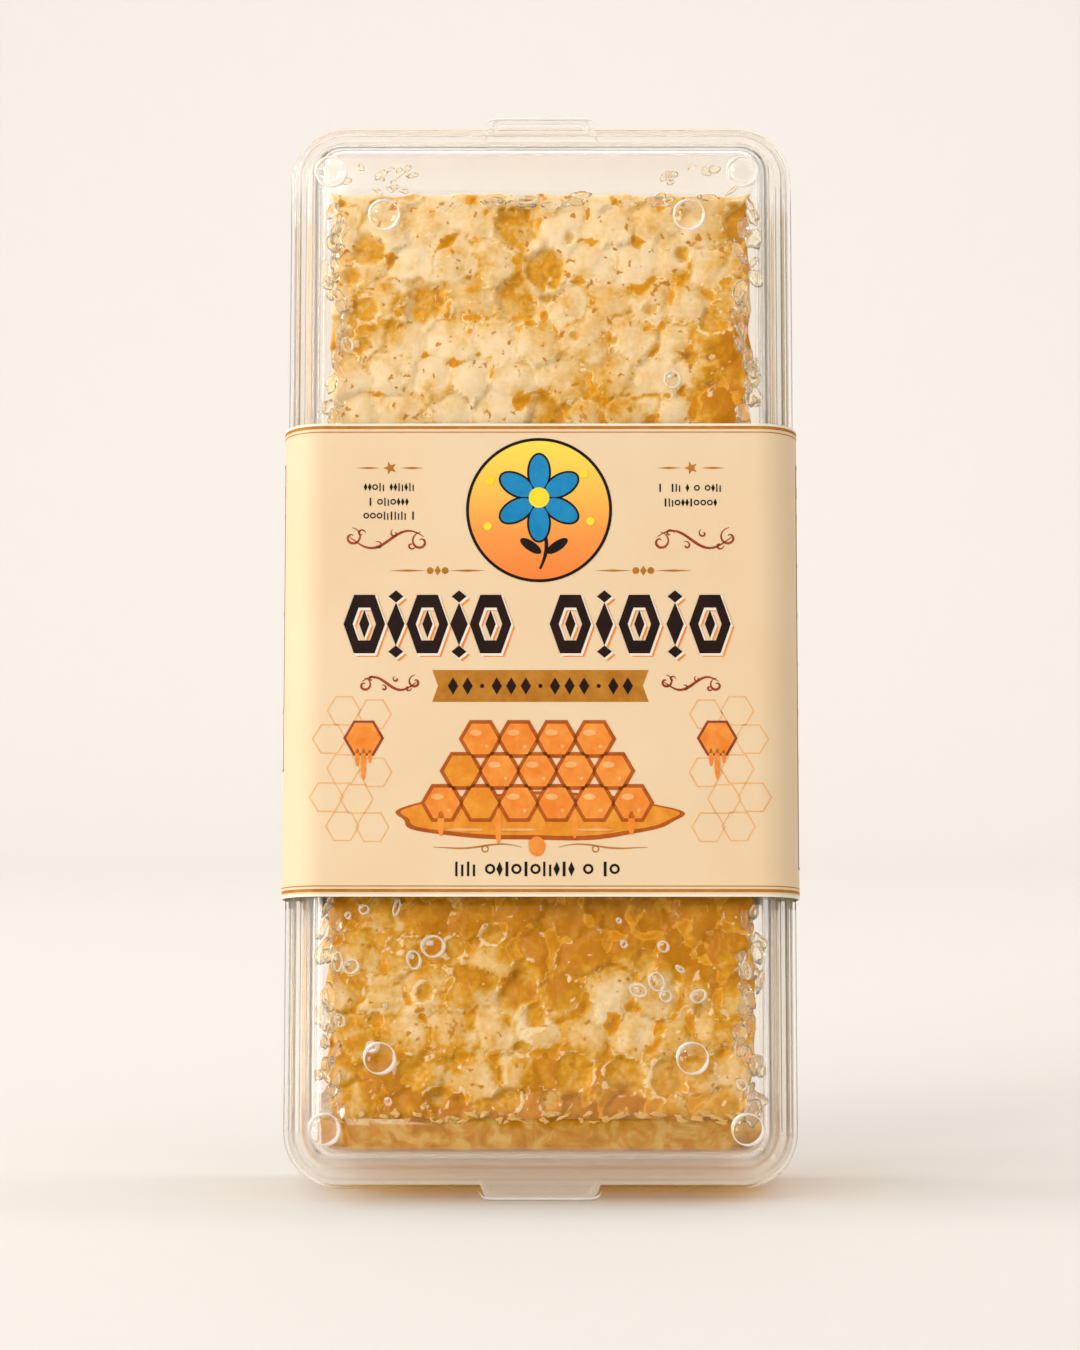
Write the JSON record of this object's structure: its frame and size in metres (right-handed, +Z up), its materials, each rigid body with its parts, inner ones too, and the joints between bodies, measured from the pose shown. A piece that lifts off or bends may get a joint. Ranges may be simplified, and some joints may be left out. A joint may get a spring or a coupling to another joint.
{
  "type": "honeycomb piece",
  "caption": "Cut honeycomb with pale wax caps in a closed clear plastic box with a cream paper band, leaning back a little on its lower tab.",
  "frame": {"origin": "middle of the pack's footprint box, on the surface that it stands on", "axes": "+X across the front to its right as the viewer sees it, +Z up, the front faces -Y and leans back about 6.8 degrees"},
  "size_m": [0.0628, 0.045, 0.1321],
  "materials": {
    "clear_plastic": "clear, glossy moulded plastic",
    "comb_wax": "translucent honey-filled wax, wet in places",
    "honey": "clear golden honey",
    "band_paper": "smooth uncoated cream paper with a printed design"
  },
  "bodies": {
    "root": {"box_lid": "clear_plastic", "box_base": "clear_plastic", "honeycomb": "comb_wax", "honey_pool": "honey", "paper_band": "band_paper"}
  },
  "joints": []
}
